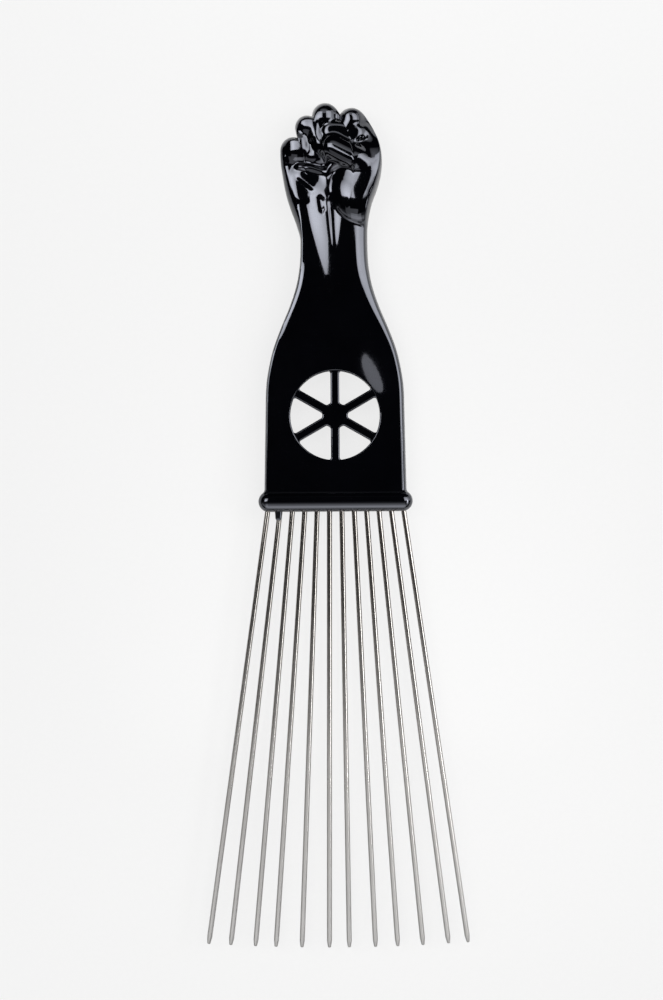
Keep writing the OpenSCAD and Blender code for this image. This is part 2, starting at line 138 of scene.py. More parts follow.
# Each roll of flesh: points as x and y in pixels, then radius and height in millimetres. After
# them, how far its sides fall and how much of its top is level, as shares of the radius, and how
# softly it meets the rest.
frontRolls = {
    "littleKnob": ([(297.5, 143.5, 3.6, 7.2), (298.0, 150.0, 3.6, 7.1)], 0.55, 0, 0.8),
    "ringKnob": ([(307.5, 125.0, 3.2, 7.8), (308.5, 127.0, 3.2, 7.8)], 0.55, 0, 0.8),
    "middleKnob": ([(324.0, 117.5, 3.4, 8.4), (324.0, 119.0, 3.4, 8.4)], 0.6, 0, 0.8),
    "indexKnob": ([(350.0, 119.5, 3.2, 8.6), (351.0, 122.0, 3.2, 8.6)], 0.8, 0, 0.6),
    "little": ([(301.5, 142.0, 1.5, 7.2), (302.5, 151.0, 1.6, 7.0)], 0.8, 0, 0.6),
    "littlePad": ([(289.0, 157.0, 3.0, 5.8), (300.0, 157.0, 3.0, 6.1)], 0.6, 0, 1.2),
    "ring": ([(314.0, 124.0, 1.6, 8.0), (315.5, 138.0, 1.6, 8.1),
              (320.5, 150.0, 1.7, 7.8)], 0.8, 0, 0.6),
    "ringPad": ([(313.5, 156.5, 3.0, 6.6), (317.5, 156.5, 3.0, 6.7)], 0.6, 0, 1.2),
    "fronts": ([(332.0, 134.0, 3.1, 8.1), (353.0, 135.5, 3.3, 8.2)], 0.5, 0.5, 0.6),
    "thumb": ([(333.0, 149.5, 3.6, 10.0), (357.0, 162.0, 3.5, 10.4),
               (368.0, 170.0, 3.5, 9.0)], 0.75, 0, 0.8),
    "side": ([(363.5, 133.0, 1.6, 7.0), (369.0, 143.0, 2.1, 7.2), (374.0, 154.0, 2.4, 7.4),
              (374.0, 174.0, 2.4, 7.3)], 0.6, 0, 0.6),
    "thenar": ([(372.0, 177.0, 12.6, 8.9), (362.0, 193.0, 9.8, 8.75)], 0.45, 0.12, 0.5),
    "arch": ([(331.5, 201.0, 1.0, 5.7), (326.5, 187.0, 1.1, 6.1), (325.5, 176.0, 1.1, 6.5),
              (331.0, 168.0, 1.1, 7.2), (345.0, 164.5, 1.1, 8.4)], 0.7, 0, 0.4),
    "wrist": ([(336.0, 196.0, 11.0, 6.3), (343.0, 278.0, 9.8, 4.85),
               (344.0, 345.0, 7.0, 2.2)], 0.36, 0.2, 0.5),
    "hypothenar": ([(301.5, 178.0, 4.2, 5.6), (303.0, 196.0, 3.4, 5.35)], 0.45, 0.4, 0.5),
    "palm": ([(304.0, 176.0, 2.2, 5.9), (315.0, 185.0, 2.3, 5.9),
              (321.0, 178.0, 2.0, 5.9)], 0.5, 0.8, 0.3),
    "fold": ([(299.0, 168.5, 0.8, 6.5), (311.0, 170.0, 0.8, 6.6),
              (321.5, 173.5, 0.8, 6.5)], 0.8, 0, 0.4),
}
# Each hollow has two ends: x and y in pixels, then half width to the left, to the right, and depth
# in millimetres
hollows = {
    "grooveTop": ((329.5, 203.0, 0.5, 2.4, 0.36), (331.0, 222.0, 0.45, 2.0, 0.34)),
    "grooveEnd": ((331.0, 222.0, 0.45, 2.0, 0.34), (333.0, 250.0, 0.4, 1.0, 0.05)),
    "dimple": ((321.5, 201.0, 1.3, 0.45, 0.24), (323.0, 211.0, 1.3, 0.45, 0.24)),
}
# The fingers on the back, as rolls whose places are in millimetres like the rest
backRolls = {
    "little": ([(-10.2, 99.8, 2.9, 4.3), (-4.8, 83.0, 1.75, 3.8)], 0.35, 0, 0.45),
    "ring": ([(-6.1, 104.2, 3.1, 4.5), (-2.5, 83.0, 1.75, 3.9)], 0.35, 0, 0.45),
    "middle": ([(-0.9, 106.6, 3.4, 4.5), (0.3, 83.0, 1.75, 3.9)], 0.35, 0, 0.45),
    "index": ([(5.0, 104.6, 3.4, 4.45), (2.9, 83.0, 1.75, 3.8)], 0.35, 0, 0.45),
}


def placed(points):  # points with their places turned from pixels into millimetres
    scale = photoValues["mmPerPixel"]
    left, top = photoValues["origin"]
    return [((x - left) * scale, (top - y) * scale, *sizes) for x, y, *sizes in points]


frontMm = [(placed(points), *form) for points, *form in frontRolls.values()]
hollowMm = [placed(ends) for ends in hollows.values()]


def reach(lobe, angle):  # how far a knuckle reaches from the eye at an angle
    dx, dy = lobe[0] - o["eye"][0], lobe[1] - o["eye"][1]
    ahead = dx * math.cos(angle) + dy * math.sin(angle)
    spare = lobe[2] ** 2 - (dx * dx + dy * dy - ahead ** 2)
    return ahead + math.sqrt(max(spare, 0))


def topPoint(c):
    angle = math.radians(mix(o["leftAngle"], o["rightAngle"], c))
    r = reach(o["lobes"][-1], angle)
    for lobe in o["lobes"][-2::-1]:
        r = meet(reach(lobe, angle), r, o["lobeBlend"])
    return Vector((o["eye"][0] + r * math.cos(angle), o["eye"][1] + r * math.sin(angle)))


neckLeft = Vector((-v["neckWidth"] / 2, v["neckPlace"]))
neckRight = Vector((v["neckWidth"] / 2, v["neckPlace"]))
topLeft, topRight = topPoint(0), topPoint(1)
leftTable = [(neckLeft.y, neckLeft.x)] + o["left"] + [(topLeft.y, topLeft.x)]
rightTable = [(neckRight.y, neckRight.x)] + o["right"] + [(topRight.y, topRight.x)]


def sidePoint(table, t):
    y = mix(table[0][0], table[-1][0], t)
    return Vector((curve(table, y), y))


def along(ends, x, y):  # share of the way between two ends, and distance from the line between them
    ax, ay, bx, by = ends
    dx, dy = bx - ax, by - ay
    t = hold(((x - ax) * dx + (y - ay) * dy) / (dx * dx + dy * dy))
    return t, math.hypot(x - ax - t * dx, y - ay - t * dy)


def rollHeight(roll, x, y):
    points, fall, level, blend = roll
    nearest = math.inf
    for a, b in zip(points, points[1:]):  # the nearest stretch alone gives the height
        t, d = along((*a[:2], *b[:2]), x, y)
        if d < nearest:
            nearest, share, start, end = d, t, a, b
    r = mix(start[2], end[2], share)
    d = max(nearest / r - level, 0) / (1 - level)
    steep, slope = 0.93, 2.53  # beyond this share the side falls on in a straight line
    drop = 1 - math.sqrt(1 - min(d, steep) ** 2) + slope * max(d - steep, 0)
    return mix(start[3], end[3], share) - r * fall * drop


def hollowDepth(x, y):
    depth = 0
    farthest = 3  # in half widths
    for (ax, ay, aLeft, aRight, aDepth), (bx, by, bLeft, bRight, bDepth) in hollowMm:
        t, d = along((ax, ay, bx, by), x, y)
        isRight = x > mix(ax, bx, t)
        q = d / (mix(aRight, bRight, t) if isRight else mix(aLeft, bLeft, t))
        if q < farthest:
            depth = max(depth, mix(aDepth, bDepth, t) * math.exp(-q ** 3))
    return depth


def flesh(x, y, base, rolls):
    h = curve(base, y)
    for roll in rolls:
        h = meet(h, rollHeight(roll, x, y), roll[3])
    return h


def frontHeight(x, y):
    return flesh(x, y, frontBase, frontMm) - hollowDepth(x, y)


def backDepth(x, y):
    return min(v["barThickness"] / 2, flesh(x, y, backBase, backRolls.values()))


# The paddle meets the bar in a fillet. A ball is the bar's round edge: place, middle and radius.
def filletTop(wall, ball):
    return ball[0] + math.sqrt((ball[2] + v["fillet"]) ** 2 - (wall + v["fillet"] - ball[1]) ** 2)


def flare(wall, ball, y):
    top = filletTop(wall, ball)
    low = ball[0] + (top - ball[0]) * ball[2] / (ball[2] + v["fillet"])
    drop = hold((top - max(y, low)) / v["fillet"])
    return wall + v["fillet"] * (1 - math.sqrt(1 - drop * drop))


sideBall = (0, v["barWidth"] / 2 - v["barLength"] / 2, v["barLength"] / 2)
faceBall = (v["barLength"] / 2 - v["barEdge"], v["barThickness"] / 2 - v["barEdge"], v["barEdge"])
filletStart = max(filletTop(v["paddleWidth"] / 2, sideBall),
                  filletTop(v["paddleThickness"] / 2, faceBall))
edgeWall = v["paddleThickness"] / 2 - v["paddleEdge"]


def crowd(t):  # brings the columns closer together towards the sides
    return mix(t, (1 - math.cos(math.pi * t)) / 2, v["columnCrowding"])


def between(a, b, t):  # a pair of values on the way from one place to another
    return mix(a[0], b[0], t), mix(a[1], b[1], t)


def sideFall(c, width, radii):
    return rim(width * c, radii[0]) * rim(width * (1 - c), radii[1])


def bevel(d, size):  # how deep a soft bevel of a width and a depth is at a distance from the edge
    bend = 1.4
    return size[1] * (1 - hold(d / size[0])) ** bend


def paddlePoint(c, t):
    y = filletStart * math.sin(math.pi / 2 * t)
    halfWidth = flare(v["paddleWidth"] / 2, sideBall, y)
    thick = flare(v["paddleThickness"] / 2, faceBall, y)
    fall = sideFall(c, 2 * halfWidth, o["paddleEdges"])
    cut = bevel(2 * halfWidth * (1 - c), o["paddleBevel"])
    return halfWidth * (2 * c - 1), y, mix(edgeWall, thick - cut, fall), mix(edgeWall, thick, fall)


def fleshPoint(x, y, land, cut, fall):
    return x, y, mix(land, frontHeight(x, y) - cut, fall), mix(land, backDepth(x, y), fall)


def neckPoint(c, t):
    y = mix(v["shoulderPlace"], v["neckPlace"], t)
    width = mix(v["shoulderWidth"], v["neckWidth"], curve(o["shoulder"], t))
    share = ease((t - o["rounding"][0]) / (o["rounding"][1] - o["rounding"][0]))
    fall = sideFall(c, width, between(o["paddleEdges"], o["neckEdges"], share))
    cut = bevel(width * (1 - c), between(o["paddleBevel"], o["neckBevel"], share))
    cut += bevel(width * c, o["leftBevel"]) * curve(o["leftShares"], y)
    return fleshPoint(width / 2 * (2 * c - 1), y, mix(edgeWall, v["land"], share), cut, fall)


def fistPoint(c, t):
    t = mix(t, math.sin(math.pi / 2 * t), v["rowCrowding"])
    left, right = sidePoint(leftTable, t), sidePoint(rightTable, t)
    width = right.x - left.x
    base, top = neckLeft.lerp(neckRight, c), topPoint(c)
    x, y = base.lerp(top, t) + left.lerp(right, c) - base.lerp(topLeft.lerp(topRight, c), t)
    share = ease(t / o["fistStart"])
    fall = sideFall(c, width, between(o["neckEdges"], o["fistEdges"], share))
    fall *= rim((1 - t) * (top - base).length, o["topRim"])
    cut = bevel(width * (1 - c), between(o["neckBevel"], o["fistBevel"], share))
    cut *= 1 - ease((t - o["bevelFade"][0]) / o["bevelFade"][1])
    return fleshPoint(x, y, v["land"], cut, fall)


def skinPoint(i, j):  # place, height above and depth below the parting plane
    c = crowd(i / v["columns"])
    if j < v["paddleRows"]:
        return paddlePoint(c, j / (v["paddleRows"] - 1))
    j -= v["paddleRows"]
    if j < v["neckRows"]:
        return neckPoint(c, j / v["neckRows"])
    return fistPoint(c, (j - v["neckRows"]) / v["fistRows"])


def shadeSmooth(bm):
    for face in bm.faces:
        face.smooth = True


def buildSkin():  # a front and a back sheet, shaped and then joined round their rims
    rows = v["paddleRows"] + v["neckRows"] + v["fistRows"]
    bm = bmesh.new()
    bmesh.ops.create_grid(bm, x_segments=v["columns"], y_segments=rows, size=1)
    bm.verts.ensure_lookup_table()
    back = bmesh.ops.duplicate(bm, geom=bm.faces[:])
    backVerts = {e for e in back["geom"] if isinstance(e, bmesh.types.BMVert)}
    backFaces = [e for e in back["geom"] if isinstance(e, bmesh.types.BMFace)]
    bmesh.ops.reverse_faces(bm, faces=backFaces)
    parting = v["barThickness"] / 2
    known = {}
    for vert in bm.verts:
        key = (round((vert.co.x + 1) / 2 * v["columns"]), round((vert.co.y + 1) / 2 * rows))
        if key not in known:
            known[key] = skinPoint(*key)
        x, y, up, down = known[key]
        vert.co = Vector((x, y, parting - down if vert in backVerts else parting + up)) * mm
    inner = [e for e in bm.verts if not e.is_boundary and e.co.y > v["smoothFrom"] * mm]
    for step in range(v["smoothPasses"]):
        bmesh.ops.smooth_vert(bm, verts=inner, factor=v["smoothShare"], use_axis_z=True)
    rimEdges = [e for e in bm.edges if e.is_boundary]
    bmesh.ops.bridge_loops(bm, edges=rimEdges)
    bmesh.ops.recalc_face_normals(bm, faces=bm.faces[:])
    shadeSmooth(bm)
    return bm


def addNode(tree, kind, inputs=None, **settings):
    node = tree.nodes.new("ShaderNode" + kind)
    for key, value in settings.items():
        setattr(node, key, value)
    for key, value in (inputs or {}).items():
        if isinstance(value, bpy.types.NodeSocket):
            tree.links.new(value, node.inputs[key])
        else:
            node.inputs[key].default_value = value
    return node


def maths(tree, operation, first, second):
    return addNode(tree, "Math", {0: first, 1: second}, operation=operation).outputs[0]


def startMaterial(name):
    material = bpy.data.materials.new(name)
    material.use_nodes = True
    tree = material.node_tree
    place = addNode(tree, "TexCoord").outputs["Object"]
    return material, tree, tree.nodes["Principled BSDF"], place


def noise(tree, place, scale, detail, stretch=(1, 1, 1)):
    if stretch != (1, 1, 1):
        place = addNode(tree, "Mapping", {"Vector": place, "Scale": stretch}).outputs["Vector"]
    return addNode(tree, "TexNoise", {"Vector": place, "Scale": scale, "Detail": detail}).outputs["Fac"]


def spread(tree, value, low, high, fromLow=0.3, fromHigh=0.7):  # maps noise onto a range
    inputs = {"Value": value, "From Min": fromLow, "From Max": fromHigh, "To Min": low, "To Max": high}
    return addNode(tree, "MapRange", inputs).outputs["Result"]


def blendColours(tree, share, first, second):
    node = addNode(tree, "Mix", data_type="RGBA")
    tree.links.new(share, node.inputs[0])
    for socket, colour in ((node.inputs[6], first), (node.inputs[7], second)):
        if isinstance(colour, bpy.types.NodeSocket):
            tree.links.new(colour, socket)
        else:
            socket.default_value = (*colour, 1)
    return node.outputs[2]


def addBump(tree, shader, layers):  # layers: height, depth in metres and strength
    normal = None
    for height, (depth, strength) in layers:
        inputs = {"Height": height, "Distance": depth, "Strength": strength}
        if normal:
            inputs["Normal"] = normal
        normal = addNode(tree, "Bump", inputs).outputs["Normal"]
    tree.links.new(normal, shader.inputs["Normal"])
    return normal


# Polished black plastic: faint clouds in its colour, a haze, a little dust, and the shallow waves
# and fine peel of a moulded surface. Each noise is a scale and a detail, haze and dust are
# roughness, and wave and peel are a depth in metres and a strength.
plasticValues = {
    "colours": ((0.0003, 0.0004, 0.0009), (0.0008, 0.0009, 0.0018)), "clouds": (90.0, 4.0),
    "haze": (0.055, 0.085), "hazeNoise": (260.0, 5.0),
    "dust": (0.0, 0.16, 0.66, 0.8), "dustNoise": (5200.0, 2.0),
    "sockets": {"IOR": 1.8, "Specular Tint": (0.8, 0.84, 1, 1),
                "Coat Weight": 0.5, "Coat Roughness": 0.03, "Coat IOR": 1.55},
    "wave": (0.00025, 0.07), "waveNoise": (75.0, 1.0),
    "peel": (0.00001, 0.3), "peelNoise": (900.0, 2.0),
}


def glossPlastic():
    p = plasticValues
    material, tree, shader, place = startMaterial("glossPlastic")
    clouds = noise(tree, place, *p["clouds"])
    colour = blendColours(tree, spread(tree, clouds, 0, 1), *p["colours"])
    tree.links.new(colour, shader.inputs["Base Color"])
    dust = spread(tree, noise(tree, place, *p["dustNoise"]), *p["dust"])
    haze = spread(tree, noise(tree, place, *p["hazeNoise"]), *p["haze"])
    tree.links.new(maths(tree, "ADD", haze, dust), shader.inputs["Roughness"])
    for socket, value in p["sockets"].items():
        shader.inputs[socket].default_value = value
    wave = noise(tree, place, *p["waveNoise"])
    peel = noise(tree, place, *p["peelNoise"])
    normal = addBump(tree, shader, [(wave, p["wave"]), (peel, p["peel"])])
    tree.links.new(normal, shader.inputs["Coat Normal"])
    return material


# Drawn steel wire with fine streaks along it. The free ends are duller than the roots. The colour is
# painted darker at the roots as painted shade, and paler towards the free ends as a painted reflection.
steelValues = {
    # root is the painted shade colour near the handle, tip the painted reflection colour of the free
    # ends
    "root": ((0.35, 0.33, 0.31), (0.39, 0.37, 0.35)), "tip": ((0.62, 0.61, 0.595), (0.68, 0.67, 0.66)),
    "fadeFrom": -0.01, "fadeTo": -0.125, "roughness": (0.08, 0.1), "tipRoughness": 0.3,
    "fanPlace": 0.135,  # where the wires would meet, in metres along the handle
    "streakNoise": (1.0, 2.0, (500, 30, 2500)), "streak": (0.000003, 0.1),
    "clouds": (120.0, 4.0), "toneRange": (0.7, 1.3),
}


def wireStreaks(tree, place):  # they run along the wires as these fan out
    s = steelValues
    axes = addNode(tree, "SeparateXYZ", {"Vector": place}).outputs
    fan = maths(tree, "SUBTRACT", s["fanPlace"], axes["Y"])
    share = maths(tree, "DIVIDE", axes["X"], fan)
    lines = addNode(tree, "CombineXYZ", {"X": share, "Y": axes["Y"], "Z": axes["Z"]}).outputs["Vector"]
    return axes["Y"], noise(tree, lines, *s["streakNoise"])


def drawnSteel():
    s = steelValues
    material, tree, shader, place = startMaterial("drawnSteel")
    y, streaks = wireStreaks(tree, place)
    clouds = noise(tree, place, *s["clouds"])
    tone = maths(tree, "ADD", streaks, clouds)
    # share from root to tip: it blends the painted shade colour into the painted reflection colour, and
    # makes the free ends rougher
    sheenAndDulling = spread(tree, y, 1, 0, s["fadeTo"], s["fadeFrom"])
    share = spread(tree, tone, 0, 1, *s["toneRange"])
    root = blendColours(tree, share, *s["root"])
    tip = blendColours(tree, share, *s["tip"])
    tree.links.new(blendColours(tree, sheenAndDulling, root, tip), shader.inputs["Base Color"])
    fresh = spread(tree, tone, *s["roughness"], *s["toneRange"])
    dull = spread(tree, sheenAndDulling, 0, s["tipRoughness"], 0, 1)
    tree.links.new(maths(tree, "ADD", fresh, dull), shader.inputs["Roughness"])
    shader.inputs["Metallic"].default_value = 1.0
    addBump(tree, shader, [(streaks, s["streak"])])
    return material


# Pale card under the pick. The camera and reflections see it pale, and it throws little light
# back on the pick. Its glow lifts it towards white for the camera alone.
floorValues = {
    "pale": ((0.78, 0.78, 0.775), (0.82, 0.82, 0.815)), "hidden": (0.06, 0.06, 0.06), "glow": 0.78,
    "roughness": 0.7, "specular": 0.2, "grain": (0.00002, 0.3), "grainNoise": (700.0, 3.0),
    "halfWidth": 2.0, "drop": 0.00002,
}


def floorCard():
    f = floorValues
    material, tree, shader, place = startMaterial("floorCard")
    grain = noise(tree, place, *f["grainNoise"])
    pale = blendColours(tree, spread(tree, grain, 0, 1), *f["pale"])
    rays = addNode(tree, "LightPath").outputs
    seen = maths(tree, "MAXIMUM", rays["Is Camera Ray"], rays["Is Glossy Ray"])
    tree.links.new(blendColours(tree, seen, f["hidden"], pale), shader.inputs["Base Color"])
    shader.inputs["Roughness"].default_value = f["roughness"]
    shader.inputs["Specular IOR Level"].default_value = f["specular"]
    addBump(tree, shader, [(grain, f["grain"])])
    glow = addNode(tree, "Emission", {"Color": (1, 1, 1, 1), "Strength": 1.0})
    share = maths(tree, "MULTIPLY", rays["Is Camera Ray"], f["glow"])
    blend = addNode(tree, "MixShader", {0: share, 1: shader.outputs[0], 2: glow.outputs[0]})
    tree.links.new(blend.outputs[0], tree.nodes["Material Output"].inputs["Surface"])
    return material


def combine(piece, tool, operation):  # one boolean step, after which the tool is deleted
    modifier = piece.modifiers.new(operation.lower(), "BOOLEAN")
    modifier.operation = operation
    modifier.solver = "MANIFOLD"
    modifier.object = tool
    bpy.context.view_layer.update()
    result = bpy.data.meshes.new_from_object(piece.evaluated_get(bpy.context.evaluated_depsgraph_get()))
    piece.modifiers.clear()
    old = piece.data
    result.name = old.name
    piece.data = result
    bpy.data.meshes.remove(old)
    bpy.data.objects.remove(tool)


def makeTool(bm):
    bmesh.ops.recalc_face_normals(bm, faces=bm.faces[:])
    mesh = bpy.data.meshes.new("tool")
    bm.to_mesh(mesh)
    bm.free()
    tool = bpy.data.objects.new("tool", mesh)
    collection.objects.link(tool)
    return tool


def toMetres(bm):
    bmesh.ops.scale(bm, verts=bm.verts[:], vec=(mm, mm, mm))


def onlyVerts(geom):
    return [e for e in geom if isinstance(e, bmesh.types.BMVert)]


def levelEdges(bm):
    return [e for e in bm.edges if abs(e.verts[0].co.z - e.verts[1].co.z) < 1e-6]


def roundEdges(bm, edges, width, segments):
    bmesh.ops.bevel(bm, geom=edges, affect="EDGES", offset=width, offset_type="OFFSET",
                    segments=segments, profile=0.5, material=-1)


def thicken(bm, height):
    made = bmesh.ops.extrude_face_region(bm, geom=bm.faces[:])["geom"]
    bmesh.ops.translate(bm, verts=onlyVerts(made), vec=(0, 0, height))


def lathe(bm, profile, steps, centre):  # spins a profile of (radius, height) round Z
    verts = [bm.verts.new((centre[0] + r, centre[1], centre[2] + z)) for r, z in profile]
    edges = [bm.edges.new(pair) for pair in zip(verts, verts[1:])]
    bmesh.ops.spin(bm, geom=verts + edges, cent=centre, axis=(0, 0, 1), angle=2 * math.pi,
                   steps=steps, use_merge=True)
    bmesh.ops.remove_doubles(bm, verts=bm.verts[:], dist=1e-4)


# The round window in the paddle, with six plain spokes round a hub
windowValues = {
    "width": 25.9, "place": 24.8, "rimRadius": 0.3, "rimAngle": 84, "rimSteps": 6, "steps": 120,
    "overrun": (4.0, 1.0),  # how far the cut goes on past the rim, outwards and up
    "spokes": 6, "spokeWidth": 2.5, "hub": 7.4, "hubSides": 36, "recess": 0.5, "bite": 0.8,
    "hubFillet": 0.45, "spokeRoot": 20, "spokeFlare": 0.9, "flareSteps": 4, "flareEnd": 0.98,
    "spokeEdge": 0.4, "segments": 4,
}


def windowCutter():
    w = windowValues
    bm = bmesh.new()
    half, r, edge = v["paddleThickness"] / 2, w["width"] / 2, w["rimRadius"]
    profile = []
    for k in range(w["rimSteps"] + 1):  # rounded rim of the front, from the wall outwards
        turn = math.radians(w["rimAngle"]) * k / w["rimSteps"]
        profile.append((r + edge * (1 - math.cos(turn)), half - edge + edge * math.sin(turn)))
    profile.append((profile[-1][0] + w["overrun"][0], half + w["overrun"][1]))
    profile = [(x, -z) for x, z in reversed(profile)] + profile
    profile = [(0, profile[0][1])] + profile + [(0, profile[-1][1])]
    lathe(bm, profile, w["steps"], (0, w["place"], v["barThickness"] / 2))
    toMetres(bm)
    return makeTool(bm)


def growSpoke(bm, rimEdges, k):  # pulls part of the hub's rim out into a spoke that ends in a flare
    w = windowValues
    angle = 2 * math.pi * k / w["spokes"] + math.pi / 2
    out = Vector((math.cos(angle), math.sin(angle), 0))
    side = Vector((-out.y, out.x, 0))
    limit = math.cos(math.radians(w["spokeRoot"]))
    edges = [e for e in rimEdges if (e.verts[0].co + e.verts[1].co).normalized().dot(out) > limit]
    flareStart = w["width"] / 2 - w["spokeFlare"]
    shares = [step / w["flareSteps"] for step in range(w["flareSteps"] + 1)]
    stops = [(share, flareStart + share * w["spokeFlare"]) for share in shares]
    stops.append((1, w["width"] / 2 + w["bite"]))
    for share, distance in stops:
        bend = 1 - math.sqrt(1 - min(share, w["flareEnd"]) ** 2)
        wide = w["spokeWidth"] / 2 + w["spokeFlare"] * bend
        verts = onlyVerts(bmesh.ops.extrude_edge_only(bm, edges=edges)["geom"])
        widest = max(abs(vert.co.dot(side)) for vert in verts)
        for vert in verts:
            vert.co = out * distance + side * (vert.co.dot(side) * wide / widest)
        edges = [e for e in bm.edges if all(u in verts for u in e.verts)]


def roundHub(bm):  # the corners where the spokes leave the hub
    w = windowValues
    hubReach = w["hub"] / 2 + 0.01
    corners = []
    for vert in bm.verts:
        if vert.co.length < hubReach:
            if max(e.other_vert(vert).co.length for e in vert.link_edges) > hubReach:
                corners.append(vert)
    bmesh.ops.bevel(bm, geom=corners, affect="VERTICES", offset=w["hubFillet"], offset_type="OFFSET",
                    segments=w["segments"], profile=0.5, material=-1)


def windowWeb():
    w = windowValues
    bm = bmesh.new()
    bmesh.ops.create_circle(bm, cap_ends=True, segments=w["hubSides"], radius=w["hub"] / 2)
    rimEdges = bm.edges[:]
    for k in range(w["spokes"]):
        growSpoke(bm, rimEdges, k)
    bmesh.ops.dissolve_faces(bm, faces=bm.faces[:])
    roundHub(bm)
    height = v["paddleThickness"] - 2 * w["recess"]
    thicken(bm, height)
    bmesh.ops.recalc_face_normals(bm, faces=bm.faces[:])
    roundEdges(bm, levelEdges(bm), w["spokeEdge"], w["segments"])
    toMetres(bm)
    place = Vector((0, w["place"], (v["barThickness"] - height) / 2)) * mm
    bmesh.ops.translate(bm, verts=bm.verts[:], vec=place)
    return makeTool(bm)


def baseBar():
    bm = bmesh.new()
    bmesh.ops.create_circle(bm, cap_ends=True, segments=v["barSides"], radius=v["barLength"] / 2)
    stretch = (v["barWidth"] - v["barLength"]) / 2
    for vert in bm.verts:
        if abs(vert.co.x) > 1e-4:
            vert.co.x += math.copysign(stretch, vert.co.x)
    thicken(bm, v["barThickness"])
    roundEdges(bm, levelEdges(bm), v["barEdge"], v["barSegments"])
    toMetres(bm)
    return makeTool(bm)


# The wires. Pitches are at the bar and at the tips, and a stray is how far a tip lies from an even
# fan, as a share of the pitch there. Shapes and ends start with a share of the radius. After it
# comes the share of the taper that is left, or else millimetres. The dish round each hole is in
# shares of its depth: how far it reaches past the hole, and how far its lip lies above the bar.
wireValues = {
    "count": 12, "width": 1.5, "rootPitch": 3.58, "tipPitch": 6.85, "length": 126.0, "held": 11.0,
    "strays": [0, -0.06, -0.01, -0.14, -0.04, 0.12, -0.04, 0.07, 0.01, 0.08, 0.17, 0],
    "taper": 2.0, "tipShape": [(0.92, 0.8), (0.81, 0.55), (0.7, 0.3), (0.62, 0.12)],
    "bluntEnd": [(0.5, 0.07), (0.27, 0.015)],
    "anchorWidth": 2.3, "anchorThickness": 0.8, "anchorLength": 2.6, "anchorTaper": 0.7,
    "anchorEnd": (0.8, 0.15), "neckRings": (0.7, 0.45, 0.2, 0), "sides": 24, "boreSides": 32,
    "gap": 0.02, "pocketSpare": 0.5, "boreRise": 1.5, "dish": 0.25, "dishShape": (1.4, 0.4),
}


def alongWire(i):  # matrix that stands a shape along wire i, with its Z from the bar to the tip
    w = wireValues
    place = i - (w["count"] - 1) / 2
    root = place * w["rootPitch"]
    tip = (place + w["strays"][i]) * w["tipPitch"]
    turn = math.atan((tip - root) / w["length"])
    start = Vector((root, -v["barLength"] / 2, v["barThickness"] / 2)) * mm
    return (Matrix.Translation(start) @ Matrix.Rotation(turn, 4, "Z")
            @ Matrix.Rotation(math.pi / 2, 4, "X") @ Matrix.Scale(mm, 4))


def boreProfile(depth, rise, dish):  # a bore, with a shallow dish round its mouth
    w = wireValues
    r = w["width"] / 2 + w["gap"]
    lip, height = r + dish * w["dishShape"][0], dish * w["dishShape"][1]
    mouth = [(r, -dish), (lip, height), (lip, rise)] if dish else [(r, rise)]
    return [(0, -depth), (r, -depth)] + mouth + [(0, rise)]


def wireCutter(depth, rise, dish, wires):
    bm = bmesh.new()
    for i in wires:
        part = bmesh.new()
        lathe(part, boreProfile(depth, rise, dish), wireValues["boreSides"], (0, 0, 0))
        bmesh.ops.transform(part, matrix=alongWire(i), verts=part.verts[:])
        mesh = bpy.data.meshes.new("part")
        part.to_mesh(mesh)
        part.free()
        bm.from_mesh(mesh)
        bpy.data.meshes.remove(mesh)
    return makeTool(bm)


def pocketCutter():  # room for the flattened ends of the wires
    w = wireValues
    bm = bmesh.new()
    length = w["anchorLength"] + w["pocketSpare"]
    size = (w["anchorWidth"] + 2 * w["gap"], w["anchorThickness"] + 2 * w["gap"], length, 1)
    middle = Matrix.Translation((0, 0, length / 2 - w["held"] - w["gap"]))
    for i in range(w["count"]):
        bmesh.ops.create_cube(bm, size=1, matrix=alongWire(i) @ middle @ Matrix.Diagonal(size))
    return makeTool(bm)


# A blunt run of plastic over the second wire, where the mould has leaked
dripValues = {
    "width": 2.2, "length": 3.4, "thickness": 1.9, "narrowing": 0.8, "edge": 0.7, "segments": 5,
    "place": (-16.5, -3.8), "rise": 0.5, "wire": 1, "boreDepth": 0.5, "boreRise": 4.0,
}


def flashDrip():
    d = dripValues
    bm = bmesh.new()
    size = Matrix.Diagonal((d["width"], d["length"], d["thickness"], 1))
    bmesh.ops.create_cube(bm, size=1, matrix=size)
    for vert in bm.verts:
        if vert.co.y < 0:
            vert.co.x *= d["narrowing"]
    roundEdges(bm, bm.edges[:], d["edge"], d["segments"])
    toMetres(bm)
    place = Vector((*d["place"], v["barThickness"] / 2 + d["rise"])) * mm
    bmesh.ops.translate(bm, verts=bm.verts[:], vec=place)
    return makeTool(bm)


def buildHandle(material):
    w, d = wireValues, dripValues
    handle = addPiece("moulded_handle", buildSkin(), material)
    combine(handle, windowCutter(), "DIFFERENCE")
    combine(handle, windowWeb(), "UNION")
    combine(handle, baseBar(), "UNION")
    bores = wireCutter(w["held"] - w["anchorLength"], w["boreRise"], w["dish"], range(w["count"]))
    combine(handle, bores, "DIFFERENCE")
    combine(handle, pocketCutter(), "DIFFERENCE")
    combine(handle, flashDrip(), "UNION")
    combine(handle, wireCutter(d["boreDepth"], d["boreRise"], 0, [d["wire"]]), "DIFFERENCE")
    handle.data.shade_smooth()
    handle.data.set_sharp_from_angle(angle=math.radians(v["sharpAngle"]))
    smooth = handle.modifiers.new("even shading", "WEIGHTED_NORMAL")
    smooth.keep_sharp = True
    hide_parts("handle")


